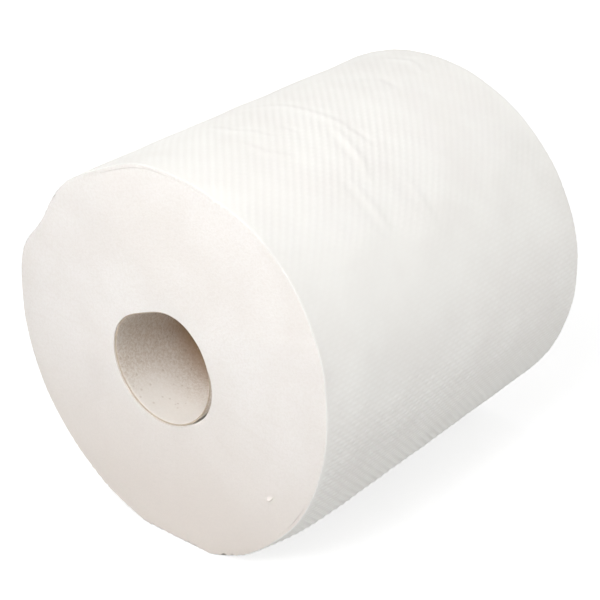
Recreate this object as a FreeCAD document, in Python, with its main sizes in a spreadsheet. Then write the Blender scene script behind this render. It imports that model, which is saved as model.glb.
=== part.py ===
import FreeCAD, Part
import math
import os
import Sketcher

# A centre-feed paper towel roll that lies on its side: the wound towel web and its cardboard core.
# The roll's length runs along Y, its near face looks towards -Y, and it rests on the floor at z = 0.
# The web's outer form is a loft through cross-sections: the near face, its rim, the sections that
# share out the length from the shoulder on, and the far face. The core is a tube whose near mouth
# is pressed in.

SIZES = [
    ("roll_width", 200.0, "cut width of the towel, from face to face"),
    ("roll_radius", 97.5, "mean outer radius of the wound web"),
    ("floor_press", 0.7, "how far the mean circle is pressed into the floor"),
    ("flat_angle", 271.5, "direction of the flat spot, degrees from +X towards +Z"),
    ("flat_half", 8.5, "half the angle of the flat spot, seen from the roll's middle"),
    ("rim_round", 0.8, "width of the worn edge round each face"),
    ("lobe_rise", 1.8, "height of the three soft lobes of the near face"),
    ("lobe_angle", 44.0, "direction of the first lobe"),
    ("shoulder_inset", 20.0, "distance of the shoulder section from the near face"),
    ("belly_angle", 317.0, "direction of the soft belly low on the visible side"),
    ("belly_spread", 30.0, "angle over which the belly falls away"),
    ("belly_rise", 2.8, "height of the belly at the shoulder"),
    ("far_belly_rise", -1.4, "height of the belly at the far face, where it has become a hollow"),
    ("dent_angle", 148.0, "direction of the dent in the near rim"),
    ("dent_spread", 10.0, "angle over which the rim dent falls away"),
    ("dent_depth", 4.0, "depth of the rim dent at the near face"),
    ("dent_reach", 20.0, "distance from the near face over which the rim dent fades to a third"),
    ("tail_angle", 242.0, "direction of the edge where the outer sheet ends"),
    ("tail_reach", 8.0, "angle over which the sheet's end lifts from the turn below"),
    ("tail_lift", 0.8, "height of the sheet's free end"),
    ("bore_radius", 30.0, "inner radius of the cardboard core"),
    ("core_wall", 0.8, "wall of the cardboard core"),
    ("core_clear", 0.05, "gap between the core and the first turn"),
    ("core_recess", 0.5, "how far each end of the core sits behind the face"),
    ("core_shift_x", -4.5, "sideways offset of the core from the roll's middle"),
    ("core_shift_z", -3.2, "upward offset of the core from the roll's middle"),
    ("mouth_depth", 60.0, "length of core that is pressed out of round at the near end"),
    ("mouth_angle", 112.0, "direction of the pressed side of the mouth"),
    ("mouth_spread", 32.0, "angle over which the pressed side falls away"),
    ("mouth_press", 4.2, "depth of the pressed side at the mouth"),
    ("gap_angle", 340.0, "direction of the gap between the core's mouth and the web"),
    ("gap_width", 2.0, "widest part of that gap at the face"),
    ("gap_tightness", 6.0, "how much smaller the gap's circle is than the web's bore"),
    ("gap_depth", 18.0, "depth at which the gap has closed"),
    ("sheet_gap_angle", 98.0, "direction of the gap where the last turns have come loose at the rim"),
    ("sheet_gap_spread", 26.0, "angle over which that gap closes, to each side"),
    ("sheet_gap_width", 0.7, "widest part of that gap"),
    ("sheet_gap_inset", 3.9, "distance of that gap from the mean outer radius"),
    ("sheet_gap_depth", 1.5, "depth of that gap behind the face"),
    ("line_start", 6.0, "distance of the first turn line from the core"),
    ("line_end", 9.0, "distance of the last turn line from the mean outer radius"),
    ("line_depth", 0.5, "depth of the turn lines in the faces"),
    ("line_half_width", 0.45, "half the turn line's width at the face"),
]

SECTION_COUNT = 5
SHEET_SPAN_COUNT = 20
TAIL_SPAN_COUNT = 2
MOUTH_POLE_COUNT = 8
MOUTH_SPAN_COUNT = 3
LINE_TURN_COUNT = 5
CUT_OVERRUN = 0.3
END_POLE_RISE = 1 / 18
INNER_POLE_RISE = 1 / 6

doc = FreeCAD.newDocument("paper_towel_roll")
sheet = doc.addObject("Spreadsheet::Sheet", "Sizes")


def fill_sheet():
    """Write each size, its alias and its meaning into one row of the sheet."""
    for row, (alias, value, meaning) in enumerate(SIZES, start=1):
        sheet.set("A%d" % row, meaning)
        sheet.set("B%d" % row, str(value))
        sheet.setAlias("B%d" % row, alias)
    doc.recompute()


def size(alias):
    """Return a size of the sheet as a number."""
    return float(getattr(sheet, alias))


def ref(text):
    """Return an expression in which each {alias} points to the sheet."""
    return text.replace("{", "Sizes.").replace("}", "")


NEAR = ref("-{roll_width} / 2")
FAR = ref("{roll_width} / 2")
AXIS_Z = ref("({roll_radius} - {floor_press})")
CORE_X = ref("{core_shift_x}")
CORE_Z = ref("(%s + {core_shift_z})" % AXIS_Z)
CORE_OUTER = ref("({bore_radius} + {core_wall})")
WEB_BORE = ref("(%s + {core_clear})" % CORE_OUTER)


def hump(angle, centre, spread):
    """Return a smooth bump over the angle that is 1 at its centre, as an expression."""
    turn = "(mod(%s - %s + 540; 360) - 180)" % (angle, centre)
    return "exp(-1 * pow(%s / %s; 2))" % (turn, spread)


def plane(body, role):
    """Return one of a body's own origin planes."""
    return next(item for item in body.Origin.OriginFeatures if item.Role == role)


def new_body(label):
    """Add an empty body for one sub-part."""
    body = doc.addObject("PartDesign::Body", label)
    body.Label = label
    body.Placement = FreeCAD.Placement()
    return body


def sketch_across(body, name, station):
    """Add a sketch square to the roll's length, at a distance along Y given as an expression."""
    sketch = body.newObject("Sketcher::SketchObject", name)
    sketch.AttachmentSupport = [(plane(body, "XZ_Plane"), "")]
    sketch.MapMode = "FlatFace"
    sketch.setExpression("AttachmentOffset.Base.z", "-1 * (%s)" % station)
    return sketch


def pin(sketch, geometry, point, across, upward):
    """Fix one point of a sketch to two expressions, measured from the sketch's origin."""
    for kind, text in (("DistanceX", across), ("DistanceY", upward)):
        index = sketch.addConstraint(Sketcher.Constraint(kind, -1, 1, geometry, point, 1.0))
        sketch.setExpression("Constraints[%d]" % index, text)


def circle(sketch, across, upward, radius):
    """Draw a circle from expressions."""
    rough = size("bore_radius")
    index = sketch.addGeometry(Part.Circle(FreeCAD.Vector(), FreeCAD.Vector(0, 0, 1), rough))
    radius_at = sketch.addConstraint(Sketcher.Constraint("Radius", index, rough))
    sketch.setExpression("Constraints[%d]" % radius_at, radius)
    pin(sketch, index, 3, across, upward)


def smooth_curve(sketch, spots, closed):
    """Draw a smooth curve with a handle on each pole and return the first handle's number.

    Each spot is a rough place for its pole, which expressions then fix.
    """
    curve = Part.BSplineCurve()
    curve.buildFromPoles(spots, closed, 3)
    outline = sketch.addGeometry(curve, False)
    first = outline + 1
    for k, spot in enumerate(spots):
        handle = sketch.addGeometry(Part.Circle(spot, FreeCAD.Vector(0, 0, 1), 1.0), True)
        if k == 0:
            sketch.addConstraint(Sketcher.Constraint("Weight", handle, 1.0))
        else:
            sketch.addConstraint(Sketcher.Constraint("Equal", first, handle))
        sketch.addConstraint(Sketcher.Constraint(
            "InternalAlignment:Sketcher::BSplineControlPoint", handle, 3, outline, k))
    return first


def rough_spot(radius, degrees, upward=0.0):
    """Return a starting place for a pole."""
    turn = math.radians(degrees)
    return FreeCAD.Vector(radius * math.cos(turn), upward + radius * math.sin(turn), 0)


def ring(sketch, radius_at):
    """Draw the core's closed outline, whose radius at an angle is given by an expression.

    The poles stand a little outside the outline, by the ratio that makes a round one true.
    """
    step = 360.0 / MOUTH_POLE_COUNT
    spots = [rough_spot(size("bore_radius"), size("mouth_angle") + k * step, size("roll_radius"))
             for k in range(MOUTH_POLE_COUNT)]
    first = smooth_curve(sketch, spots, True)
    for k in range(MOUTH_POLE_COUNT):
        angle = ref("({mouth_angle} + %g)" % (k * step))
        reach = "(%s) * 6 / (4 + 2 * cos(%g deg))" % (radius_at(angle), step)
        pin(sketch, first + k, 3,
            "%s + %s * cos(%s * 1 deg)" % (CORE_X, reach, angle),
            "%s + %s * sin(%s * 1 deg)" % (CORE_Z, reach, angle))


def arc_curve(sketch, spans, begin, end, rough_begin, rough_end, radius_at):
    """Draw an open stretch of the web's outline between two angles, given as expressions.

    The poles lie at the angles and at the small rises that keep a round stretch true. The first
    and last ones are the stretch's own ends, and their places are left to the caller.
    """
    shares = [0, 1 / 3] + list(range(1, spans)) + [spans - 1 / 3, spans]
    rises = [0, END_POLE_RISE] + [INNER_POLE_RISE] * (spans - 1) + [END_POLE_RISE, 0]
    step = "((%s - %s) / %d)" % (end, begin, spans)
    rough_step = (rough_end - rough_begin) / spans
    spots = [rough_spot(size("roll_radius"), rough_begin + rough_step * share, size("roll_radius"))
             for share in shares]
    first = smooth_curve(sketch, spots, False)
    for k in range(1, len(shares) - 1):
        angle = "(%s + %s * %.9g)" % (begin, step, shares[k])
        rise = "(1 + pow(%s * pi / 180; 2) * %.9g)" % (step, rises[k])
        reach = "(%s) * %s" % (radius_at(angle), rise)
        pin(sketch, first + k, 3,
            "%s * cos(%s * 1 deg)" % (reach, angle),
            "%s + %s * sin(%s * 1 deg)" % (AXIS_Z, reach, angle))
    return first - 1


def web_stations():
    """Return the web's cross-sections from the near face to the far one.

    Each has a name, its distance from the near face, how far it is drawn in at a worn rim, and
    whether it carries the belly, which starts at the shoulder. The shoulder is the first of the
    sections that share out the length.
    """
    stations = [("near_face", "0", "{rim_round}", False), ("near_rim", "{rim_round}", "0", False)]
    reach = "({roll_width} - {rim_round} - {shoulder_inset})"
    for k in range(SECTION_COUNT + 1):
        inset = "({shoulder_inset} + %s * %d / %d)" % (reach, k, SECTION_COUNT)
        stations.append(("section_%d" % k, inset, "0", True))
    return stations + [("far_face", "{roll_width}", "{rim_round}", True)]


def web_radius(inset, drawn_in, has_belly):
    """Return the function of angle that gives one cross-section's radius.

    The lobes fade evenly towards the far face, and the rim dent dies away behind the near one.
    """
    lobe = "{lobe_rise} * (1 - %s / {roll_width})" % inset
    dent = "{dent_depth} * exp(-1 * %s / {dent_reach})" % inset
    along = "(%s - {shoulder_inset}) / ({roll_width} - {shoulder_inset})" % inset
    belly = "({belly_rise} + ({far_belly_rise} - {belly_rise}) * %s)" % along if has_belly else "0"

    def radius_at(angle):
        lobes = "%s * cos(3 * (%s - {lobe_angle}) * 1 deg)" % (lobe, angle)
        swell = "%s * %s" % (belly, hump(angle, "{belly_angle}", "{belly_spread}"))
        press = "%s * %s" % (dent, hump(angle, "{dent_angle}", "{dent_spread}"))
        return ref("{roll_radius} - %s + %s + %s - %s" % (drawn_in, lobes, swell, press))

    return radius_at


def join(sketch, first, first_end, second, second_end):
    """Make the ends of two stretches of an outline meet."""
    sketch.addConstraint(Sketcher.Constraint("Coincident", first, first_end, second, second_end))


def pin_to_floor(sketch, handle, angle):
    """Fix a pole on the floor, in the given direction from the roll's middle."""
    sketch.addConstraint(Sketcher.Constraint("PointOnObject", handle, 3, -1))
    index = sketch.addConstraint(Sketcher.Constraint("DistanceX", -1, 1, handle, 3, 1.0))
    sketch.setExpression("Constraints[%d]" % index, "-1 * %s / tan(%s * 1 deg)" % (AXIS_Z, angle))


def web_section(body, name, inset, drawn_in, has_belly):
    """Draw one cross-section of the web: the outer sheet, its free end, the turn below and the flat.

    The outer sheet runs from the flat spot over the top to its free end, which stands a step above
    the turn below it.
    """
    sketch = sketch_across(body, name, NEAR + " + " + ref(inset))
    flat_right = ref("({flat_angle} + {flat_half})")
    flat_left = ref("({flat_angle} - {flat_half} + 360)")
    tail = ref("({tail_angle} + 360)")
    turn_below = web_radius(inset, drawn_in, has_belly)

    def outer_sheet(angle):
        lift = hump(angle, "{tail_angle}", "{tail_reach}")
        return "%s + %s" % (turn_below(angle), ref("{tail_lift} * %s" % lift))

    rough_right = size("flat_angle") + size("flat_half")
    rough_left = size("flat_angle") - size("flat_half") + 360
    rough_tail = size("tail_angle") + 360
    sheet_curve = arc_curve(
        sketch, SHEET_SPAN_COUNT, flat_right, tail, rough_right, rough_tail, outer_sheet)
    below_curve = arc_curve(
        sketch, TAIL_SPAN_COUNT, tail, flat_left, rough_tail, rough_left, turn_below)
    sheet_poles = SHEET_SPAN_COUNT + 3
    below_poles = TAIL_SPAN_COUNT + 3
    pin_to_floor(sketch, sheet_curve + 1, flat_right)
    pin_to_floor(sketch, below_curve + below_poles, flat_left)
    edges = ((sheet_curve + sheet_poles, outer_sheet), (below_curve + 1, turn_below))
    for handle, radius_at in edges:
        reach = "(%s)" % radius_at(tail)
        pin(sketch, handle, 3, "%s * cos(%s * 1 deg)" % (reach, tail),
            "%s + %s * sin(%s * 1 deg)" % (AXIS_Z, reach, tail))
    right = rough_spot(size("roll_radius"), rough_right, size("roll_radius"))
    left = rough_spot(size("roll_radius"), rough_left, size("roll_radius"))
    edge = rough_spot(size("roll_radius"), rough_tail, size("roll_radius"))
    below = rough_spot(size("roll_radius") - size("tail_lift"), rough_tail, size("roll_radius"))
    step_line = sketch.addGeometry(Part.LineSegment(edge, below))
    join(sketch, sheet_curve, 2, step_line, 1)
    join(sketch, step_line, 2, below_curve, 1)
    floor_line = sketch.addGeometry(Part.LineSegment(left, right))
    join(sketch, below_curve, 2, floor_line, 1)
    join(sketch, floor_line, 2, sheet_curve, 1)
    return sketch


def mouth_radius(base, press):
    """Return the function of angle that gives the core's pressed outline."""
    def radius_at(angle):
        return ref("%s - %s * %s" % (base, press, hump(angle, "{mouth_angle}", "{mouth_spread}")))
    return radius_at


def loft(body, kind, name, sections):
    """Add or cut a loft through a list of sketches, with straight lines from each to the next."""
    doc.recompute()
    feature = body.newObject("PartDesign::" + kind, name)
    feature.Profile = sections[0]
    feature.Sections = sections[1:]
    feature.Ruled = True
    doc.recompute()
    return feature


def mouth_sections(body, prefix, base, start):
    """Draw the pressed mouth and the sections behind it, which ease into the round one.

    The first section stands at the given start, and the last one is the circle at the mouth's end.
    """
    sections = []
    for k in range(MOUTH_SPAN_COUNT + 1):
        share = "%d / %d" % (k, MOUTH_SPAN_COUNT)
        station = start if k == 0 else NEAR + ref(" + {mouth_depth} * pow(%s; 1.5)" % share)
        sketch = sketch_across(body, "%s_section_%d" % (prefix, k), station)
        if k < MOUTH_SPAN_COUNT:
            ring(sketch, mouth_radius(base, "{mouth_press} * pow(1 - pow(%s; 1.5); 2)" % share))
        else:
            circle(sketch, CORE_X, CORE_Z, base)
        sections.append(sketch)
    return sections


def round_stretch(body, kind, name, base, length):
    """Add or cut the round stretch that runs from the end of the mouth to the far end."""
    sketch = sketch_across(body, name + "_outline", NEAR + ref(" + {mouth_depth}"))
    circle(sketch, CORE_X, CORE_Z, base)
    doc.recompute()
    before = body.Tip.Shape.Volume
    feature = body.newObject("PartDesign::" + kind, name)
    feature.Profile = sketch
    feature.setExpression("Length", length)
    feature.Reversed = kind == "Pad"
    doc.recompute()
    gained = feature.Shape.Volume - before
    if (gained > 0) != (kind == "Pad"):
        raise RuntimeError("%s points the wrong way" % name)
    return feature


def polygon(sketch, corners):
    """Draw a closed outline of straight edges whose corners are pairs of expressions."""
    count = len(corners)
    spots = [rough_spot(1.0, 360.0 * k / count) for k in range(count)]
    for k in range(count):
        sketch.addGeometry(Part.LineSegment(spots[k], spots[(k + 1) % count]))
    for k in range(count):
        sketch.addConstraint(Sketcher.Constraint("Coincident", k, 2, (k + 1) % count, 1))
    for k, (across, upward) in enumerate(corners):
        pin(sketch, k, 1, across, upward)


def open_core_gap(body):
    """Open the crescent between the core's mouth and the web, which closes behind the face."""
    radius = ref("(%s - {gap_tightness})" % WEB_BORE)
    direction = ref("{gap_angle}")
    sections = []
    for name, station, reach in (
        ("gap_face", NEAR + " - %g" % CUT_OVERRUN, ref("({gap_tightness} + {gap_width})")),
        ("gap_end", NEAR + ref(" + {gap_depth}"), ref("({gap_tightness} - {core_wall})")),
    ):
        sketch = sketch_across(body, name, station)
        circle(sketch, "%s + %s * cos(%s * 1 deg)" % (CORE_X, reach, direction),
               "%s + %s * sin(%s * 1 deg)" % (CORE_Z, reach, direction), radius)
        sections.append(sketch)
    loft(body, "SubtractiveLoft", "core_gap", sections)


def open_sheet_gap(body):
    """Open the thin crescent where the last turns have come loose at the top of the near rim.

    It lies between two arcs. The inner one is larger and steps back from the gap's direction, by
    as much as closes the gap at its spread.
    """
    sketch = sketch_across(body, "sheet_gap_outline", NEAR)
    outer = ref("({roll_radius} - {sheet_gap_inset})")
    step = ref("({sheet_gap_width} / (1 - cos({sheet_gap_spread} * 1 deg)))")
    inner = ref("(%s + %s - {sheet_gap_width})" % (outer, step))
    ends = [math.radians(size("sheet_gap_angle") + side * size("sheet_gap_spread")) for side in (-1, 1)]
    middle = FreeCAD.Vector(0, size("roll_radius"), 0)
    for index, radius in enumerate((outer, inner)):
        rough = size("roll_radius") - size("sheet_gap_inset") * (1 - index)
        edge = Part.Circle(middle, FreeCAD.Vector(0, 0, 1), rough)
        sketch.addGeometry(Part.ArcOfCircle(edge, *ends))
        radius_at = sketch.addConstraint(Sketcher.Constraint("Radius", index, rough))
        sketch.setExpression("Constraints[%d]" % radius_at, radius)
    sketch.addConstraint(Sketcher.Constraint("PointOnObject", 0, 3, -2))
    height = sketch.addConstraint(Sketcher.Constraint("DistanceY", -1, 1, 0, 3, 1.0))
    sketch.setExpression("Constraints[%d]" % height, AXIS_Z)
    direction = ref("{sheet_gap_angle} * 1 deg")
    pin(sketch, 1, 3,
        "-1 * %s * cos(%s)" % (step, direction),
        "%s - %s * sin(%s)" % (AXIS_Z, step, direction))
    join(sketch, 0, 1, 1, 1)
    join(sketch, 0, 2, 1, 2)
    doc.recompute()
    pocket = body.newObject("PartDesign::Pocket", "sheet_gap")
    pocket.Profile = sketch
    pocket.setExpression("Length", ref("{sheet_gap_depth}"))
    doc.recompute()


def turn_line(body, name, station, inward):
    """Cut one spiral line into a face, from beside the core out to the rim.

    Each turn is four quarter arcs. At every quarter the radius grows and the centre steps back by
    as much, so that the line runs on without a kink. The steps to the left and right differ, and
    so do those up and down, which carries the centre from the off-centre core to the roll's middle.
    """
    first = ref("(%s + {line_start})" % WEB_BORE)
    quarter = ref("(({roll_radius} - {line_end} - %s) / %d)" % (first, 4 * LINE_TURN_COUNT))
    drift_x = ref("(-1 * {core_shift_x} / %d)" % (2 * LINE_TURN_COUNT))
    drift_z = ref("(-1 * {core_shift_z} / %d)" % (2 * LINE_TURN_COUNT))
    path = sketch_across(body, name + "_path", station)
    rough_first = size("bore_radius") + size("core_wall") + size("line_start")
    rough_step = (size("roll_radius") - size("line_end") - rough_first) / (4 * LINE_TURN_COUNT)
    for k in range(4 * LINE_TURN_COUNT):
        turn, side = divmod(k, 4)
        left = 1 if side >= 2 else 0
        low = 1 if side >= 3 else 0
        high = 1 if side >= 1 else 0
        across = "%s + %d * %s + %d * %s" % (CORE_X, left, quarter, 2 * turn + left, drift_x)
        rise = 2 * turn + low + high
        upward = "%s + %d * %s + %d * %s" % (CORE_Z, low - high, quarter, rise, drift_z)
        middle = FreeCAD.Vector(size("core_shift_x"), size("roll_radius"), 0)
        ends = math.radians(90 * side), math.radians(90 * (side + 1))
        round_edge = Part.Circle(middle, FreeCAD.Vector(0, 0, 1), rough_first + rough_step * k)
        path.addGeometry(Part.ArcOfCircle(round_edge, *ends))
        pin(path, k, 3, across, upward)
        level = "Horizontal" if side % 2 else "Vertical"
        path.addConstraint(Sketcher.Constraint(level, k, 2, k, 3))
        if k == 0:
            path.addConstraint(Sketcher.Constraint("Horizontal", 0, 1, 0, 3))
            index = path.addConstraint(Sketcher.Constraint("Radius", 0, rough_first))
            path.setExpression("Constraints[%d]" % index, first)
        else:
            join(path, k - 1, 2, k, 1)
    groove = body.newObject("Sketcher::SketchObject", name + "_groove")
    groove.AttachmentSupport = [(plane(body, "XY_Plane"), "")]
    groove.MapMode = "FlatFace"
    groove.setExpression("AttachmentOffset.Base.z", CORE_Z)
    middle = "%s + %s" % (CORE_X, first)
    wide = ref("({line_half_width} * (1 + %g / {line_depth}))" % CUT_OVERRUN)
    outside = "%s - %s * %g" % (station, inward, CUT_OVERRUN)
    polygon(groove, [
        ("%s - %s" % (middle, wide), outside),
        ("%s + %s" % (middle, wide), outside),
        (middle, "%s + %s * %s" % (station, inward, ref("{line_depth}"))),
    ])
    doc.recompute()
    pipe = body.newObject("PartDesign::SubtractivePipe", name)
    pipe.Profile = groove
    pipe.Spine = path
    doc.recompute()


def make_web():
    """Build the wound towel web as one solid."""
    body = new_body("towel_web")
    sections = [web_section(body, *station) for station in web_stations()]
    loft(body, "AdditiveLoft", "wound_form", sections)
    loft(body, "SubtractiveLoft", "bore_mouth", mouth_sections(body, "bore", WEB_BORE, NEAR))
    round_stretch(body, "Pocket", "bore", WEB_BORE, ref("{roll_width}"))
    open_core_gap(body)
    open_sheet_gap(body)
    turn_line(body, "near_turns", NEAR, "1")
    turn_line(body, "far_turns", FAR, "-1")
    return body


def make_core():
    """Build the cardboard core, round but for its pressed near mouth."""
    body = new_body("core_tube")
    start = NEAR + ref(" + {core_recess}")
    wall_length = ref("{roll_width} - {mouth_depth} - {core_recess}")
    loft(body, "AdditiveLoft", "mouth_wall", mouth_sections(body, "wall", CORE_OUTER, start))
    round_stretch(body, "Pad", "tube_wall", CORE_OUTER, wall_length)
    inner = mouth_sections(body, "inner", ref("{bore_radius}"), start)
    loft(body, "SubtractiveLoft", "mouth_bore", inner)
    round_stretch(body, "Pocket", "tube_bore", ref("{bore_radius}"), ref("{roll_width}"))
    return body


def check_document():
    """Stop if any object of the document has failed."""
    for item in doc.Objects:
        if {"Invalid", "Error"} & set(item.State):
            raise RuntimeError("%s failed: %s" % (item.Label, item.State))


def write_part(body):
    """Write one sub-part to its STEP file."""
    shape = body.Shape
    if shape.isNull() or not shape.isValid() or len(shape.Solids) != 1:
        raise RuntimeError("%s is not one valid solid" % body.Label)
    shape.exportStep("parts/%s.step" % body.Label)
    print("%s: %.0f mm3, %d faces" % (body.Label, shape.Volume, len(shape.Faces)))


os.makedirs("parts", exist_ok=True)
fill_sheet()
bodies = [make_web(), make_core()]
doc.recompute()
check_document()
for body in bodies:
    write_part(body)
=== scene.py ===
"""A centre-feed paper towel roll that lies on its side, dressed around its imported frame.

The roll's axis runs along Y with its near face at the low end, and it rests on the floor at
z = 0. Sizes in the classes are in millimetres and angles in degrees, counted from +X towards
+Z. Only the studio, the shaders' spans and reliefs and the emboss's rises are in metres. Every
mesh is finished in metres, in the frame's own place.
"""

import logging
import math
from dataclasses import dataclass
from enum import Enum

import bmesh
import bpy
import numpy as np
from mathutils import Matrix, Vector


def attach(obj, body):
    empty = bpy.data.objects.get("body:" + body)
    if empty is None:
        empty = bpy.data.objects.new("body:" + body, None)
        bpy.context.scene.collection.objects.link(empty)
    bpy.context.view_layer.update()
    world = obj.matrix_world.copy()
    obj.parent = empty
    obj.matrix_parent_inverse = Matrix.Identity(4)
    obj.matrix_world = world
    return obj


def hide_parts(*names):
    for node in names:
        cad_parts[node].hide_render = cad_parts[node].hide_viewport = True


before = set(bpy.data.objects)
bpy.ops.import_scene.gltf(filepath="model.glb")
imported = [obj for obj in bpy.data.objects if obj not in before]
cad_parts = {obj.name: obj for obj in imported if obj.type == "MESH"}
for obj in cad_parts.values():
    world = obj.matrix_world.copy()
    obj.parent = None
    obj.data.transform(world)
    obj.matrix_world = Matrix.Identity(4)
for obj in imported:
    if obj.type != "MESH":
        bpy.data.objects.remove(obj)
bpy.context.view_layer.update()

METRE = 0.001
DECIMETRE = 0.01
FULL_TURN = 360.0
HALF_TURN = 180.0
LEAST_DOWN = 0.05
WHITE = (1.0, 1.0, 1.0, 1.0)
Colour = tuple[int, int, int]
Socket = bpy.types.NodeSocket

log = logging.getLogger("towel_roll")
logging.basicConfig(level=logging.INFO, format="%(name)s: %(message)s")


class Slot(Enum):
    """The record's material slots."""

    PAPER = "paper"
    CARDBOARD = "cardboard"


class Node(Enum):
    """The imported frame's nodes."""

    WEB = "towel_web"
    CORE = "core_tube"


def bell(value: np.ndarray | float, spread: float) -> np.ndarray:
    """A bell curve, one at nought, that falls to about a third at its spread."""
    return np.exp(-((value / spread) ** 2))


def hump(angle: np.ndarray | float, centre: float, spread: float) -> np.ndarray:
    """A smooth bump round the circle, one at its centre, with the angles in degrees."""
    past = np.asarray(angle, float) - centre + HALF_TURN + FULL_TURN
    return bell(past % FULL_TURN - HALF_TURN, spread)


def ease(value: np.ndarray | float, low: float, high: float) -> np.ndarray:
    """A smooth step from nought at low to one at high."""
    part = np.clip((np.asarray(value, float) - low) / (high - low), 0.0, 1.0)
    return part * part * (3.0 - 2.0 * part)


def put(name: str, data: bpy.types.ID) -> bpy.types.Object:
    """Puts a new object in the scene.

    Args:
        name: The object's name.
        data: Its mesh, lamp or camera.

    Returns:
        The object, at the origin.
    """
    thing = bpy.data.objects.new(name, data)
    bpy.context.scene.collection.objects.link(thing)
    return thing


@dataclass(frozen=True)
class Ripple:
    """Soft unevenness, as a few crossing waves of fixed directions."""

    length: float
    height: float
    seed: int
    waves: int = 9

    def at(self, first: np.ndarray, second: np.ndarray) -> np.ndarray:
        """The height at each place.

        Args:
            first: One coordinate, in millimetres.
            second: The other coordinate, in millimetres.

        Returns:
            Heights in millimetres, mostly within the ripple's height.
        """
        draw = np.random.default_rng(self.seed)
        total = np.zeros(np.broadcast(first, second).shape)
        for _ in range(self.waves):
            turn = draw.uniform(0.0, math.tau)
            start = draw.uniform(0.0, math.tau)
            rate = math.tau / (self.length * draw.uniform(0.6, 1.5))
            across = math.cos(turn) * first + math.sin(turn) * second
            total = total + np.sin(across * rate + start)
        return total * self.height / math.sqrt(self.waves)


@dataclass(frozen=True)
class RollForm:
    """The roll's form: a three-lobed web, a little sunk where it lies, round an off-centre core."""

    width: float = 200.0
    radius: float = 97.5
    floor_press: float = 0.7
    lobes: int = 3
    lobe_rise: float = 1.8
    lobe_angle: float = 44.0
    shoulder_inset: float = 20.0
    belly_angle: float = 317.0
    belly_spread: float = 30.0
    belly_rise: float = 2.8
    far_belly_rise: float = -1.4
    dent_angle: float = 148.0
    dent_spread: float = 10.0
    dent_depth: float = 4.0
    dent_reach: float = 20.0
    rim_round: float = 0.4
    lump_reach: float = 26.0
    core_x: float = -4.5
    core_z: float = -3.2
    lumps: tuple[tuple[float, float, float], ...] = (
        (97.0, 9.0, 1.3),
        (162.0, 8.0, 1.1),
        (222.0, 26.0, 1.0),
        (312.0, 10.0, -1.1),
        (5.0, 11.0, -0.7),
        (70.0, 8.0, -0.8),
        (118.0, 7.0, -0.8),
    )

    @property
    def near(self) -> float:
        """The near face's place along the axis."""
        return -self.width / 2

    @property
    def axis_height(self) -> float:
        """The roll's axis above the floor."""
        return self.radius - self.floor_press

    def belly(self, inset: np.ndarray) -> np.ndarray:
        """How far the side swells at the belly's angle.

        Args:
            inset: The distance from the near face.

        Returns:
            The swelling, from nought at the near rim to its most at the shoulder.
        """
        along = (inset - self.shoulder_inset) / (self.width - self.shoulder_inset)
        body = self.belly_rise + (self.far_belly_rise - self.belly_rise) * along
        shoulder = self.belly_rise * inset / self.shoulder_inset
        return np.where(inset < self.shoulder_inset, shoulder, body)

    def radius_at(self, angle: np.ndarray, inset: np.ndarray) -> np.ndarray:
        """The web's radius about the roll's axis.

        Args:
            angle: The angle round the axis.
            inset: The distance from the near face.

        Returns:
            The radius, cut short where the roll lies on the floor.
        """
        fade = 1.0 - inset / self.width
        lobe = np.cos(np.radians(self.lobes * (angle - self.lobe_angle)))
        found = self.radius + self.lobe_rise * fade * lobe
        found = found + self.belly(inset) * hump(angle, self.belly_angle, self.belly_spread)
        dent = np.exp(-inset / self.dent_reach) * hump(angle, self.dent_angle, self.dent_spread)
        found = found - self.dent_depth * dent
        for centre, spread, rise in self.lumps:
            found = found + rise * np.exp(-inset / self.lump_reach) * hump(angle, centre, spread)
        return self.above_floor(angle, found)

    def above_floor(self, angle: np.ndarray, radius: np.ndarray, lift: float = 0.0) -> np.ndarray:
        """Cuts a radius short where it would come nearer to the floor than the lift."""
        down = np.maximum(-np.sin(np.radians(angle)), LEAST_DOWN)
        return np.minimum(radius, (self.axis_height - lift) / down)

    def rim_draw(self, inset: np.ndarray) -> np.ndarray:
        """How far the rounded rims are drawn in.

        Args:
            inset: The distance from the near face.

        Returns:
            The amount, a quarter round at each end.
        """
        near = np.minimum(inset, self.width - inset)
        short = np.clip(1.0 - near / self.rim_round, 0.0, 1.0)
        return self.rim_round * (1.0 - np.sqrt(np.maximum(1.0 - short * short, 0.0)))

    def place(self, angle: np.ndarray, radius: np.ndarray, along: np.ndarray) -> np.ndarray:
        """Points from angle, radius and place along the axis.

        Args:
            angle: The angle round the roll's axis.
            radius: The radius from it.
            along: The place along Y.

        Returns:
            An array of points, in millimetres.
        """
        turn, radius, along = np.broadcast_arrays(np.radians(angle), radius, along)
        height = self.axis_height + radius * np.sin(turn)
        return np.stack([radius * np.cos(turn), along, height], axis=-1)

    def core_place(self, angle: np.ndarray, radius: np.ndarray, along: np.ndarray) -> np.ndarray:
        """Points about the core's own axis, which is off the roll's."""
        return self.place(angle, radius, along) + np.array([self.core_x, 0.0, self.core_z])


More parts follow.
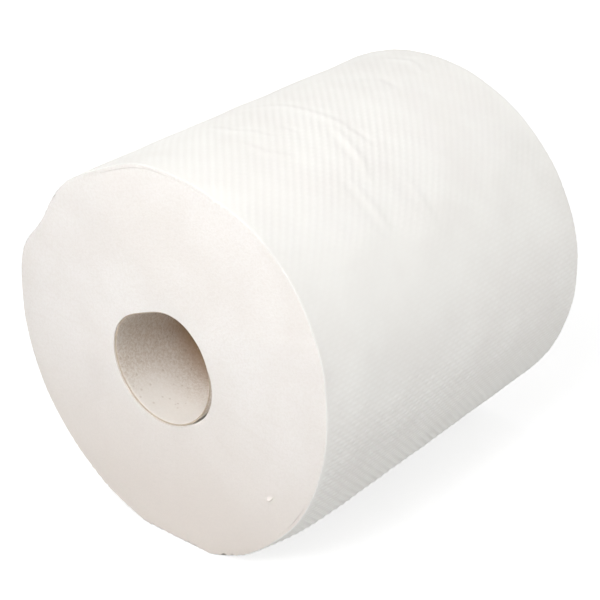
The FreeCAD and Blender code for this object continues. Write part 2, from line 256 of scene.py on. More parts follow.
class RingSolid:
    """A closed solid that runs round an axis: a closed loop of rows, each a closed ring."""

    def __init__(self, name: str) -> None:
        """Starts an empty solid with the piece's name."""
        self.name = name
        self.rows: list[np.ndarray] = []
        self.flat: list[np.ndarray] = []
        self.finish: list[int] = []

    def add(self, points: np.ndarray, across: float, round_by: np.ndarray) -> None:
        """Adds one ring of points, with the first finish on the band that follows it.

        Args:
            points: The ring's points, in millimetres.
            across: How far across the laid-out surface the ring lies.
            round_by: How far round each point lies on it, and the closing point once more.
        """
        self.rows.append(points)
        self.flat.append(np.stack([np.full(len(round_by), across), round_by], axis=-1))
        self.finish.append(0)

    def build(self, finishes: list[bpy.types.Material]) -> bpy.types.Object:
        """Makes the mesh, with its faces outwards.

        Args:
            finishes: The materials that the bands name by number.

        Returns:
            The piece, at the origin.
        """
        points = np.array(self.rows)
        rings, columns = points.shape[:2]
        row, column = np.meshgrid(np.arange(rings), np.arange(columns), indexing="ij")
        below, beside = (row + 1) % rings, (column + 1) % columns
        corners = np.stack(
            [
                row * columns + column,
                row * columns + beside,
                below * columns + beside,
                below * columns + column,
            ],
            axis=-1,
        ).reshape(-1, 4)
        flat = np.array(self.flat + self.flat[:1])
        spread = np.stack(
            [flat[:-1, :-1], flat[:-1, 1:], flat[1:, 1:], flat[1:, :-1]], axis=2
        ).reshape(-1, 4, 2)
        cloud = points.reshape(-1, 3)
        if self.volume(cloud, corners) < 0.0:
            corners = corners[:, ::-1]
            spread = spread[:, ::-1]
        mesh = bpy.data.meshes.new(self.name)
        mesh.from_pydata((cloud * METRE).tolist(), [], corners.tolist())
        layer = mesh.uv_layers.new(name="laid_out")
        layer.data.foreach_set("uv", (spread.reshape(-1, 2) * DECIMETRE).ravel())
        numbers = np.repeat(np.array(self.finish), columns)
        mesh.polygons.foreach_set("material_index", numbers.astype(np.int32))
        mesh.polygons.foreach_set("use_smooth", np.ones(len(corners), bool))
        for finish in finishes:
            mesh.materials.append(finish)
        mesh.update()
        return put(self.name, mesh)

    @staticmethod
    def volume(cloud: np.ndarray, corners: np.ndarray) -> float:
        """The signed volume that the quads enclose.

        Args:
            cloud: The points.
            corners: Each quad's four point numbers.

        Returns:
            The volume, above nought where the quads face outwards.
        """
        a, b, c, d = (cloud[corners[:, k]] for k in range(4))
        first = np.einsum("ij,ij->i", a, np.cross(b, c))
        second = np.einsum("ij,ij->i", a, np.cross(c, d))
        return float((first + second).sum() / 6.0)


class Bench:
    """Adds and joins nodes in one tree."""

    def __init__(self, tree: bpy.types.NodeTree) -> None:
        """Sets out the bench for one node tree."""
        self.tree = tree

    def add(self, kind: str, inputs: dict | None = None, **settings: object) -> bpy.types.Node:
        """Adds a node.

        Args:
            kind: The node's type.
            inputs: A value or a socket for each input, by name or number.
            settings: The node's own settings.

        Returns:
            The node.
        """
        node = self.tree.nodes.new(kind)
        for key, value in settings.items():
            setattr(node, key, value)
        for key, value in (inputs or {}).items():
            if isinstance(value, Socket):
                self.tree.links.new(value, node.inputs[key])
            else:
                node.inputs[key].default_value = value
        return node

    def effect(self, group: bpy.types.NodeTree, inputs: dict) -> bpy.types.bpy_prop_collection:
        """Adds one of the shared effects, and gives its outputs."""
        return self.add("ShaderNodeGroup", inputs, node_tree=group).outputs

    def maths(self, operation: str, *values: object) -> Socket:
        """Works out a number from the values, with the Math node's operation."""
        return self.add("ShaderNodeMath", dict(enumerate(values)), operation=operation).outputs[0]

    def blend(self, factor: object, first: object, second: object) -> Socket:
        """Mixes two colours.

        Args:
            factor: How much of the second is seen.
            first: The first colour, as a socket or as display values.
            second: The second colour, in the same way.

        Returns:
            The mixed colour's socket.
        """
        inputs = {0: factor}
        for key, colour in ((6, first), (7, second)):
            inputs[key] = sheet_colour(*colour) if isinstance(colour, tuple) else colour
        return self.add("ShaderNodeMix", inputs, data_type="RGBA").outputs[2]

    def span(self, value: object, low: float, high: float, **to: float) -> Socket:
        """Maps a range to another one, smoothly.

        Args:
            value: The number that is mapped.
            low: The value that becomes the start.
            high: The value that becomes the end.
            to: The start and end, nought and one where left out.

        Returns:
            The mapped number's socket.
        """
        node = self.add(
            "ShaderNodeMapRange",
            {0: value, 1: low, 2: high, 3: to.get("start", 0.0), 4: to.get("end", 1.0)},
            interpolation_type="SMOOTHSTEP",
        )
        return node.outputs[0]


def sheet_colour(red: int, green: int, blue: int) -> tuple[float, float, float, float]:
    """A colour from its display values.

    Args:
        red: Red, from 0 to 255.
        green: Green, from 0 to 255.
        blue: Blue, from 0 to 255.

    Returns:
        The colour as the shaders take it.
    """
    parts = [value / 255.0 for value in (red, green, blue)]
    linear = [p / 12.92 if p <= 0.04045 else ((p + 0.055) / 1.055) ** 2.4 for p in parts]
    return (linear[0], linear[1], linear[2], 1.0)


class Effects:
    """The shader effects that more than one finish uses, each built once."""

    def __init__(self) -> None:
        """Builds the groups."""
        self.fibre = self.build_fibre()
        self.fleck = self.build_fleck()

    @staticmethod
    def start(name: str, inputs: dict[str, tuple[str, object]], outputs: dict[str, str]) -> tuple:
        """Starts a group with named sockets.

        Args:
            name: The group's name.
            inputs: Each input's socket type and value at first.
            outputs: Each output's socket type.

        Returns:
            The group, its bench, its input node and its output node.
        """
        group = bpy.data.node_groups.new(name, "ShaderNodeTree")
        for key, (kind, value) in inputs.items():
            socket = group.interface.new_socket(key, in_out="INPUT", socket_type=kind)
            if value is not None:
                socket.default_value = value
        for key, kind in outputs.items():
            group.interface.new_socket(key, in_out="OUTPUT", socket_type=kind)
        bench = Bench(group)
        return group, bench, bench.add("NodeGroupInput"), bench.add("NodeGroupOutput")

    @classmethod
    def build_fibre(cls) -> bpy.types.NodeTree:
        """Builds the fibre effect: fine felted fibres over slow cloudiness.

        Returns:
            The group, with a Cloud and a Felt value.
        """
        group, bench, given, out = cls.start(
            "felted_fibre",
            {
                "Vector": ("NodeSocketVector", None),
                "Cloud scale": ("NodeSocketFloat", 60.0),
                "Felt scale": ("NodeSocketFloat", 1400.0),
            },
            {"Cloud": "NodeSocketFloat", "Felt": "NodeSocketFloat"},
        )
        vector = given.outputs["Vector"]
        broad = {"Vector": vector, "Scale": given.outputs["Cloud scale"], "Detail": 3.0}
        cloud = bench.add("ShaderNodeTexNoise", broad)
        felt = bench.add(
            "ShaderNodeTexNoise",
            {
                "Vector": vector,
                "Scale": given.outputs["Felt scale"],
                "Detail": 4.0,
                "Roughness": 0.7,
                "Distortion": 0.6,
            },
        )
        bench.tree.links.new(cloud.outputs["Fac"], out.inputs["Cloud"])
        bench.tree.links.new(felt.outputs["Fac"], out.inputs["Felt"])
        return group

    @classmethod
    def build_fleck(cls) -> bpy.types.NodeTree:
        """Builds the fleck effect: short dark bits pressed into pulp.

        Returns:
            The group, with a Mask value.
        """
        group, bench, given, out = cls.start(
            "pulp_fleck",
            {
                "Vector": ("NodeSocketVector", None),
                "Scale": ("NodeSocketFloat", 500.0),
                "Amount": ("NodeSocketFloat", 0.5),
            },
            {"Mask": "NodeSocketFloat"},
        )
        inputs = {name: given.outputs[name] for name in ("Vector", "Scale")}
        cells = bench.add("ShaderNodeTexVoronoi", inputs)
        spot = bench.span(cells.outputs["Distance"], 0.34, 0.16)
        shade = bench.add("ShaderNodeSeparateColor", {0: cells.outputs["Color"]})
        edge = bench.maths("SUBTRACT", 1.0, given.outputs["Amount"])
        chosen = bench.maths("GREATER_THAN", shade.outputs[0], edge)
        bench.tree.links.new(bench.maths("MULTIPLY", spot, chosen), out.inputs["Mask"])
        return group


@dataclass(frozen=True)
class Finish:
    """What every finish has: a name, the shader's plain numbers and its fine relief."""

    name: str
    roughness: float = 0.9
    specular: float = 0.2
    sheen: float = 0.0
    relief: float = 0.0001
    strength: float = 0.6

    def start(self) -> tuple[bpy.types.Material, Bench, bpy.types.Node]:
        """Starts the material.

        Returns:
            The material, its bench and its shader.
        """
        material = bpy.data.materials.new(self.name)
        material.use_nodes = True
        bench = Bench(material.node_tree)
        shader = material.node_tree.nodes["Principled BSDF"]
        shader.inputs["Roughness"].default_value = self.roughness
        shader.inputs["Specular IOR Level"].default_value = self.specular
        shader.inputs["Sheen Weight"].default_value = self.sheen
        return material, bench, shader

    def dress(
        self, bench: Bench, shader: bpy.types.Node, tone: Socket, height: Socket
    ) -> None:
        """Gives the shader its colour and its fine relief.

        Args:
            bench: The material's bench.
            shader: Its shader.
            tone: The colour's socket.
            height: The relief's socket, one at the full relief.
        """
        inputs = {"Strength": self.strength, "Distance": self.relief, "Height": height}
        bump = bench.add("ShaderNodeBump", inputs)
        bench.tree.links.new(tone, shader.inputs["Base Color"])
        bench.tree.links.new(bump.outputs[0], shader.inputs["Normal"])


@dataclass(frozen=True)
class EmbossedPaper(Finish):
    """The side's paper: soft white tissue with staggered pillows pressed into it, and painted shade
    in their valleys.
    """

    light: Colour = (247, 246, 242)
    shade: Colour = (243, 241, 237)
    # Painted shade: the colour that the pillows' valleys darken towards.
    valley_shade: Colour = (235, 232, 227)
    axial_pitch: float = 5.128
    girth_pitch: float = 4.862
    row_share: float = 2.0
    felt_share: float = 2.2
    # How far the painted valley shade reaches across the pillow's wave, and how much of it there is
    # at most.
    valley_shade_from: float = 3.2
    valley_shade_share: float = 0.52
    relief: float = 0.00005
    strength: float = 0.8

    def make(self, effects: Effects) -> bpy.types.Material:
        """Makes the material.

        Args:
            effects: The shared effects.

        Returns:
            The material.
        """
        material, bench, shader = self.start()
        place = bench.add("ShaderNodeTexCoord")
        fibre = bench.effect(
            effects.fibre,
            {"Vector": place.outputs["Object"], "Cloud scale": 34.0, "Felt scale": 1500.0},
        )
        laid = bench.add("ShaderNodeUVMap", uv_map="laid_out")
        parts = bench.add("ShaderNodeSeparateXYZ", {0: laid.outputs[0]})
        turn = math.tau / DECIMETRE
        axial = bench.maths("MULTIPLY", parts.outputs[0], turn / self.axial_pitch)
        girth = bench.maths("MULTIPLY", parts.outputs[1], turn / self.girth_pitch)
        pressed = bench.add("ShaderNodeAttribute", attribute_name="pressed").outputs["Fac"]
        crossed = bench.add("ShaderNodeAttribute", attribute_name="crossed").outputs["Fac"]
        slant = bench.maths("COSINE", bench.maths("ADD", girth, axial))
        pillow = bench.maths("MULTIPLY", slant, pressed)
        for phase, share in (
            (bench.maths("SUBTRACT", girth, axial), 1.0),
            (bench.maths("MULTIPLY", girth, 2.0), self.row_share),
        ):
            wave = bench.maths("MULTIPLY", bench.maths("COSINE", phase), crossed)
            pillow = bench.maths("MULTIPLY_ADD", wave, share, pillow)
        cloudy = bench.blend(bench.span(fibre["Cloud"], 0.35, 0.68), self.light, self.shade)
        # Painted shade in the valleys between the pillows, strongest where the emboss is deepest.
        valley_shade_mask = bench.span(pillow, self.valley_shade_from, -self.valley_shade_from, end=self.valley_shade_share)
        tone = bench.blend(valley_shade_mask, cloudy, self.valley_shade)
        felt = bench.maths("MULTIPLY", fibre["Felt"], self.felt_share)
        self.dress(bench, shader, tone, bench.maths("ADD", pillow, felt))
        return material


@dataclass(frozen=True)
class WoundPaper(Finish):
    """The cut ends of the turns: creamy white, with faint turns, cloudiness, knife streaks and
    painted shade low down.
    """

    light: Colour = (250, 246, 242)
    shade: Colour = (246, 241, 236)
    streak: Colour = (236, 229, 221)
    # Painted shade: the colour that the ends darken towards near the floor.
    low: Colour = (238, 228, 219)
    turn_share: float = 0.35
    felt_share: float = 0.9
    streak_share: float = 0.3
    relief: float = 0.0003
    strength: float = 0.7

    @staticmethod
    def drawn(bench: Bench, stretch: tuple, detail: float, roughness: float) -> Socket:
        """Noise drawn out across or along the turns.

        Args:
            bench: The material's bench.
            stretch: How often it changes along each way of the laid-out surface.
            detail: The noise's detail.
            roughness: The noise's roughness.

        Returns:
            The noise's socket.
        """
        laid = bench.add("ShaderNodeUVMap", uv_map="laid_out")
        spot = bench.add("ShaderNodeMapping", {"Vector": laid.outputs[0], "Scale": stretch})
        inputs = {"Vector": spot.outputs[0], "Scale": 1.0, "Detail": detail, "Roughness": roughness}
        return bench.add("ShaderNodeTexNoise", inputs).outputs["Fac"]

    def make(self, effects: Effects) -> bpy.types.Material:
        """Makes the material.

        Args:
            effects: The shared effects.

        Returns:
            The material.
        """
        material, bench, shader = self.start()
        place = bench.add("ShaderNodeTexCoord")
        fibre = bench.effect(
            effects.fibre,
            {"Vector": place.outputs["Object"], "Cloud scale": 26.0, "Felt scale": 760.0},
        )
        turns = self.drawn(bench, (95.0, 0.9, 1.0), 4.0, 0.65)
        streaks = self.drawn(bench, (2.4, 34.0, 1.0), 3.0, 0.5)
        level = bench.add("ShaderNodeSeparateXYZ", {0: place.outputs["Object"]}).outputs[2]
        marked = bench.maths("MULTIPLY", bench.span(streaks, 0.5, 0.8), 0.16)
        tone = bench.blend(bench.span(fibre["Cloud"], 0.36, 0.68), self.light, self.shade)
        tone = bench.blend(marked, tone, self.streak)
        # Painted shade: the ends darken towards the floor, from 0.11 m above it down.
        tone = bench.blend(bench.span(level, 0.11, 0.0, end=0.8), tone, self.low)
        tone = bench.blend(bench.span(fibre["Felt"], 0.42, 0.62, end=0.3), tone, self.streak)
        height = bench.maths("MULTIPLY", turns, self.turn_share)
        height = bench.maths("MULTIPLY_ADD", fibre["Felt"], self.felt_share, height)
        height = bench.maths("MULTIPLY_ADD", streaks, self.streak_share, height)
        self.dress(bench, shader, tone, height)
        return material


@dataclass(frozen=True)
class CoreBoard(Finish):
    """Grey-brown recycled board with dark and pale flecks, with painted shade that makes it browner
    deep in the tube and painted light low in its mouth.
    """

    light: Colour = (247, 240, 232)
    shade: Colour = (228, 216, 202)
    dark_fleck: Colour = (172, 148, 124)
    pale_fleck: Colour = (246, 239, 230)
    # Painted shade: the browner colour deep in the tube.
    deep: Colour = (198, 164, 128)
    # Painted light: the paler colour low in the tube's mouth.
    mouth: Colour = (253, 249, 243)
    edge: Colour = (190, 170, 146)
    pale_share: float = 0.4
    dark_share: float = 0.22
    pit_share: float = 0.4
    relief: float = 0.00012

    def make(self, effects: Effects) -> bpy.types.Material:
        """Makes the material.

        Args:
            effects: The shared effects.

        Returns:
            The material.
        """
        material, bench, shader = self.start()
        place = bench.add("ShaderNodeTexCoord")
        spot = place.outputs["Object"]
        grain = {"Vector": spot, "Cloud scale": 90.0, "Felt scale": 800.0}
        felt = bench.effect(effects.fibre, grain)["Felt"]
        dark = bench.effect(effects.fleck, {"Vector": spot, "Scale": 420.0, "Amount": 0.22})[0]
        pale = bench.effect(effects.fleck, {"Vector": spot, "Scale": 700.0, "Amount": 0.3})[0]
        parts = bench.add("ShaderNodeSeparateXYZ", {0: spot})
        along = bench.maths("ABSOLUTE", parts.outputs[1])
        # Painted shade: browner deep in the tube, from 32 mm to 56 mm in from either end.
        deep_shade = bench.span(along, 0.068, 0.044)
        # Painted light: paler low in the tube's mouth at either end, below 84 mm above the floor.
        mouth_light = bench.maths(
            "MULTIPLY",
            bench.span(parts.outputs[2], 0.084, 0.066, end=0.85),
            bench.span(along, 0.06, 0.086),
        )
        rim = bench.span(along, 0.0988, 0.0994, end=0.75)
        base = bench.blend(bench.span(felt, 0.38, 0.62), self.light, self.shade)
        for share, colour in (
            (deep_shade, self.deep),
            (mouth_light, self.mouth),
            (bench.maths("MULTIPLY", pale, self.pale_share), self.pale_fleck),
            (bench.maths("MULTIPLY", dark, self.dark_share), self.dark_fleck),
            (rim, self.edge),
        ):
            base = bench.blend(share, base, colour)
        pits = bench.maths("MULTIPLY", dark, self.pit_share)
        self.dress(bench, shader, base, bench.maths("SUBTRACT", felt, pits))
        return material


def from_line(
    x: np.ndarray, y: np.ndarray, start: np.ndarray, step: np.ndarray
) -> tuple[np.ndarray, np.ndarray, np.ndarray]:
    """Where points lie beside a straight line.

    Args:
        x: The points' first coordinate.
        y: The points' second coordinate.
        start: The line's start.
        step: The way from its start to its end.

    Returns:
        The share of the line passed at its nearest place, the distance from there, and the side.
    """
    off_x, off_y = x - start[0], y - start[1]
    part = np.clip((off_x * step[0] + off_y * step[1]) / (step @ step), 0.0, 1.0)
    away = np.hypot(off_x - part * step[0], off_y - part * step[1])
    return part, away, np.sign(off_x * step[1] - off_y * step[0])


@dataclass(frozen=True)
class Crease:
    """A soft fold in the outer turns, along places given as an angle and a place on the axis."""

    way: tuple[tuple[float, float], ...]
    width: float
    rise: float
    furrow: float = 0.0

    def rise_at(self, angle: np.ndarray, along: np.ndarray, radius: float) -> np.ndarray:
        """The fold's height at each place.

        Args:
            angle: The angle round the axis.
            along: The place along the axis.
            radius: The radius at which angles become lengths.

        Returns:
            Heights in millimetres, falling away beside the fold and towards its ends.
        """
        round_by = np.radians(angle) * radius
        points = np.array([(math.radians(a) * radius, y) for a, y in self.way])
        steps = np.diff(points, axis=0)
        lengths = np.hypot(steps[:, 0], steps[:, 1])
        total, passed = lengths.sum(), 0.0
        near = np.full(np.shape(angle), math.inf)
        side = np.zeros(np.shape(angle))
        share = np.zeros(np.shape(angle))
        for start, step, length in zip(points[:-1], steps, lengths):
            part, away, beside = from_line(round_by, along, start, step)
            nearer = away < near
            near = np.where(nearer, away, near)
            side = np.where(nearer, beside, side)
            share = np.where(nearer, (passed + part * length) / total, share)
            passed += length
        taper = np.sin(np.pi * np.clip(0.08 + 0.84 * share, 0.0, 1.0)) ** 0.7
        ridge = bell(near, self.width)
        trough = bell(near * side - 1.5 * self.width, self.width)
        return taper * (self.rise * ridge - self.furrow * trough)


class EmbossPress:
    """Presses staggered pillows into a sheet with geometry nodes."""

    def __init__(self) -> None:
        """Builds the tree, with named inputs for its sizes."""
        tree = bpy.data.node_groups.new("emboss_press", "GeometryNodeTree")
        self.tree = tree
        tree.interface.new_socket("Sheet", in_out="INPUT", socket_type="NodeSocketGeometry")
        for name in ("Axial pitch", "Girth pitch", "Rise", "Row rise"):
            tree.interface.new_socket(name, in_out="INPUT", socket_type="NodeSocketFloat")
        tree.interface.new_socket("Paper", in_out="INPUT", socket_type="NodeSocketMaterial")
        tree.interface.new_socket("Sheet", in_out="OUTPUT", socket_type="NodeSocketGeometry")
        bench = Bench(tree)
        given, out = bench.add("NodeGroupInput"), bench.add("NodeGroupOutput")
        axial = self.phase(bench, "along", given.outputs["Axial pitch"])
        girth = self.phase(bench, "around", given.outputs["Girth pitch"])
        waves = (
            (bench.maths("ADD", girth, axial), "pressed", "Rise"),
            (bench.maths("SUBTRACT", girth, axial), "crossed", "Rise"),
            (bench.maths("MULTIPLY", girth, 2.0), "crossed", "Row rise"),
        )
        rise: object = 0.0
        for turn, mask, size in waves:
            share = bench.add("GeometryNodeInputNamedAttribute", {0: mask}, data_type="FLOAT")
            wave = bench.maths("MULTIPLY", bench.maths("COSINE", turn), share.outputs[0])
            rise = bench.maths("ADD", rise, bench.maths("MULTIPLY", wave, given.outputs[size]))
        normal = bench.add("GeometryNodeInputNormal")
        offset = bench.add(
            "ShaderNodeVectorMath", {0: normal.outputs[0], "Scale": rise}, operation="SCALE"
        )
        moved = bench.add(
            "GeometryNodeSetPosition",
            {"Geometry": given.outputs["Sheet"], "Offset": offset.outputs[0]},
        )
        cut = bench.add("GeometryNodeInputNamedAttribute", {0: "cut_end"}, data_type="FLOAT")
        real = bench.add("GeometryNodeRealizeInstances", {"Geometry": moved.outputs[0]})
        dressed = bench.add(
            "GeometryNodeSetMaterial",
            {
                "Geometry": real.outputs[0],
                "Selection": bench.maths("LESS_THAN", cut.outputs[0], 0.5),
                "Material": given.outputs["Paper"],
            },
        )
        tree.links.new(dressed.outputs[0], out.inputs[0])

    @staticmethod
    def phase(bench: Bench, attribute: str, pitch: Socket) -> Socket:
        """How far along a wave each point lies.

        Args:
            bench: The tree's bench.
            attribute: The attribute that holds the point's place.
            pitch: The wave's length.

        Returns:
            The angle's socket, in radians.
        """
        spot = bench.add("GeometryNodeInputNamedAttribute", {0: attribute}, data_type="FLOAT")
        turn = bench.maths("DIVIDE", spot.outputs[0], pitch)
        return bench.maths("MULTIPLY", turn, math.tau)

    def press(
        self, piece: bpy.types.Object, sizes: dict[str, float], paper: bpy.types.Material
    ) -> None:
        """Presses a piece and leaves it a plain mesh.

        Args:
            piece: The sheet, with its place and the emboss's two shares on its points.
            sizes: The tree's inputs, lengths in the unit that they divide.
            paper: The sheet's material.
        """
        modifier = piece.modifiers.new("emboss", "NODES")
        modifier.node_group = self.tree
        for socket in self.tree.interface.items_tree:
            if socket.in_out == "INPUT" and socket.name in sizes:
                modifier[socket.identifier] = sizes[socket.name]
            elif socket.in_out == "INPUT" and socket.name == "Paper":
                modifier[socket.identifier] = paper
        ready = piece.evaluated_get(bpy.context.evaluated_depsgraph_get())
        pressed = bpy.data.meshes.new_from_object(ready)
        pressed.name = piece.name
        before = piece.data
        piece.modifiers.remove(modifier)
        piece.data = pressed
        bpy.data.meshes.remove(before)
        for name in ("along", "around", "cut_end"):
            pressed.attributes.remove(pressed.attributes[name])


@dataclass
class OuterTurns:
    """The last turns of the web: a sleeve with embossed paper, folds and the tail's edge."""

    form: RollForm
    thickness: float = 1.7
    wave: float = 0.4
    tail_angle: float = 242.0
    tail_reach: float = 8.0
    tail_lift: float = 0.5
    columns: int = 504
    per_pitch: int = 4
    axial_pitch: float = 5.128
    girth_count: int = 126
    pillow_rise: float = 0.00006
    row_rise: float = 0.00003
    emboss_from: float = 0.8
    emboss_full: float = 3.2
    side_share: float = 0.85
    top_loss: float = 0.47
    low_gain: float = 0.5
    near_gain: float = 1.4
    shoulder_gain: float = 1.1
    crossed_share: float = 0.85
    crossed_loss: float = 0.7
    squash: float = 0.9
    squash_spread: float = 16.0
    worn: float = 0.75
    worn_angle: float = 28.0
    worn_spread: float = 26.0
    worn_place: float = -40.0
    worn_reach: float = 60.0
    swell: Ripple = Ripple(46.0, 0.16, 5)
    pucker: Ripple = Ripple(15.0, 0.05, 8)
    gap: float = 0.3
    gap_angle: float = 92.0
    gap_spread: float = 22.0
    gap_reach: float = 1.6
    loose_spread: float = 34.0
    loose_waves: float = 11.0
    fray: Ripple = Ripple(2.6, 0.1, 41)
    fray_reach: float = 1.6
    fray_gain: float = 1.6
    fray_angle: float = 262.0
    fray_spread: float = 34.0
    rim_steps: tuple[float, ...] = (0.0, 0.15, 0.45, 1.0)
    crisp: float = 0.06
    clearance: float = 0.3
    tail_slit: float = 0.04
    wall_rows: int = 8
    folds: tuple[Crease, ...] = (
        Crease(
            ((109.0, -10.6), (96.0, -4.2), (83.0, -2.7), (76.0, -1.7), (70.0, -1.5)),
            width=2.8,
            rise=0.38,
            furrow=0.15,
        ),
        Crease(((74.0, 0.6), (70.0, 1.5), (66.0, 1.3)), 2.0, -0.34),
        Crease(((57.0, -19.9), (62.0, -14.6), (68.0, -11.5), (76.0, -7.1)), 2.4, 0.45, 0.22),
        Crease(((42.0, -29.7), (51.0, -30.6), (58.0, -30.4)), 2.8, 0.30, 0.14),
        Crease(((106.0, -42.9), (95.0, -44.0), (88.0, -38.5), (83.0, -35.4)), 2.6, 0.30, 0.12),
        Crease(((88.0, -37.6), (83.0, -33.8)), 1.9, -0.26),
        Crease(((86.0, -23.7), (81.0, -23.2)), 1.9, -0.26),
        Crease(((87.0, -52.6), (78.0, -51.9), (74.0, -45.4)), 2.6, 0.30, 0.12),
        Crease(((98.0, 81.2), (90.0, 84.1), (82.0, 76.9)), 2.3, 0.30, 0.15),
        Crease(((89.0, 57.2), (81.0, 52.9)), 2.2, -0.30),
        Crease(((52.0, -0.1), (37.0, -0.5)), 3.1, 0.17, 0.07),
    )

    def sheet_depth(self, angle: np.ndarray) -> np.ndarray:
        """How thick the sleeve is, waving a little where the turns have come loose."""
        loose = hump(angle, self.gap_angle, self.loose_spread)
        return self.thickness + self.wave * loose * np.sin(np.radians(angle * self.loose_waves))

    def pillow_shares(self, angle: np.ndarray, along: float) -> tuple[np.ndarray, np.ndarray]:
        """How deep the emboss's slanting wave and its crossing wave are left.

        The emboss is deepest low on the near side, drawn slanting over the top, nearly flat where
        the roll has been held and squashed where it lies.

        Args:
            angle: The angle round the axis.
            along: The place along the axis.

        Returns:
            The two shares, one where nothing has flattened the pillows.
        """
        height = np.sin(np.radians(angle))
        fade = bell(along - self.worn_place, self.worn_reach)
        nearby = 1.0 - ease(along, -20.0, 60.0)
        low = 1.0 - ease(height, -0.3, 0.05)
        share = self.side_share - self.top_loss * ease(height, 0.0, 0.5)
        share = share * (1.0 + (self.low_gain + self.near_gain * nearby) * low)
        share = share * (1.0 + self.shoulder_gain * nearby * ease(height, 0.6, 0.9))
        worn = self.worn * fade * hump(angle, self.worn_angle, self.worn_spread)
        squash = self.squash * hump(angle, 0.75 * FULL_TURN, self.squash_spread)
        share = share * (1.0 - worn) * (1.0 - squash)
        crossed = self.crossed_share - self.crossed_loss * ease(height, 0.3, 0.75)
        return share, share * crossed

    def opening(self, angle: np.ndarray, inset: np.ndarray) -> np.ndarray:
        """How far the sleeve stands off the web beneath, at the top of the near rim only."""
        fade = bell(inset, self.gap_reach)
        return self.gap * hump(angle, self.gap_angle, self.gap_spread) * fade

    def outer_radius(self, angle: np.ndarray, along: np.ndarray, tail: bool = True) -> np.ndarray:
        """The sleeve's outer radius, with its folds and soft unevenness.

        Args:
            angle: The angle round the axis.
            along: The place along the axis.
            tail: Whether the loose tail's lift is counted.

        Returns:
            The radius, above the floor.
        """
        inset = along - self.form.near
        found = self.form.radius_at(angle, inset)
        round_by = np.radians(angle) * self.form.radius
        found = found + self.swell.at(round_by, along) + self.pucker.at(round_by, along)
        for fold in self.folds:
            found = found + fold.rise_at(angle, along, self.form.radius)
        if tail:
            lifted = hump(angle, self.tail_angle, self.tail_reach) * (angle <= self.tail_angle)
            found = found + self.tail_lift * lifted
        return self.form.above_floor(angle, found, self.clearance)

    def build(
        self, press: EmbossPress, paper: bpy.types.Material, wound: bpy.types.Material
    ) -> bpy.types.Object:
        """Builds the sleeve.

        Args:
            press: The emboss press.
            paper: The side's material.
            wound: The material of its cut ends.

        Returns:
            The piece.
        """
        form = self.form
        angle = self.tail_angle - np.arange(self.columns) * FULL_TURN / self.columns
        angle = np.append(angle, self.tail_angle + self.tail_slit)
        round_by = np.arange(self.columns + 2) * math.tau * form.radius / self.columns
        round_by[-2:] = round_by[-3]
        near, far = form.near, form.near + form.width
        rims = form.rim_round * np.array(self.rim_steps)
        step = self.axial_pitch / self.per_pitch
        inner_run = np.arange(step, form.width - rims[-1] - self.clearance, step)
        run = np.concatenate([rims, inner_run, form.width - rims[::-1]]) + near
        solid = RingSolid("outer_turns")
        marks = []
        fray = self.fray.at(round_by[:-1], np.zeros(len(angle)))
        fray = fray * (1.0 + self.fray_gain * hump(angle, self.fray_angle, self.fray_spread))
        fade_round = 1.0 - np.isin(np.arange(len(angle)), (0, self.columns - 1, self.columns))
        for along in run:
            inset = along - near
            from_end = min(inset, form.width - inset)
            radius = self.outer_radius(angle, along) - form.rim_draw(inset)
            radius = radius + fray * (1.0 - ease(from_end, 0.0, self.fray_reach))
            solid.add(form.place(angle, radius, along), inset, round_by)
            hold = fade_round * ease(from_end, self.emboss_from, self.emboss_full)
            pressed, crossed = self.pillow_shares(angle, along)
            marks.append((np.full(len(angle), inset), pressed * hold, crossed * hold))
        crisp = self.crisp
        steps = np.linspace(far - crisp, near + crisp, self.wall_rows)
        corner = self.sheet_depth(angle) - form.rim_round - crisp
        path = [(far, corner), (far, crisp), (far, 0.0)]
        path += [(float(along), 0.0) for along in steps]
        path += [(near, 0.0), (near, crisp), (near, corner)]
        plain = np.zeros(len(angle))
        for along, lift in path:
            inset = along - near
            held = self.outer_radius(angle, along, tail=False)
            radius = held - self.sheet_depth(angle) + lift
            solid.add(form.place(angle, radius, along), inset, round_by)
            marks.append((np.full(len(angle), inset), plain, plain))
        last = len(run) - 1
        for row in (last, last + 1, last + 2, -3, -2, -1):
            solid.finish[row] = 1
        piece = solid.build([paper, wound])
        cut = piece.data.attributes.new("cut_end", "FLOAT", "FACE")
        ends = np.repeat(np.array(solid.finish, np.float32), len(angle))
        cut.data.foreach_set("value", ends)
        along_of, pressed_of, crossed_of = np.array(marks).transpose(1, 0, 2)
        around_of = np.tile(round_by[:-1], (len(marks), 1))
        for name, values in (
            ("along", along_of),
            ("around", around_of),
            ("pressed", pressed_of),
            ("crossed", crossed_of),
        ):
            layer = piece.data.attributes.new(name, "FLOAT", "POINT")
            layer.data.foreach_set("value", values.astype(np.float32).ravel())
        sizes = {
            "Axial pitch": self.axial_pitch,
            "Girth pitch": math.tau * form.radius / self.girth_count,
            "Rise": self.pillow_rise,
            "Row rise": self.row_rise,
        }
        press.press(piece, sizes, paper)
        faces = piece.data.polygons
        faces.foreach_set("use_smooth", np.ones(len(faces), bool))
        return piece


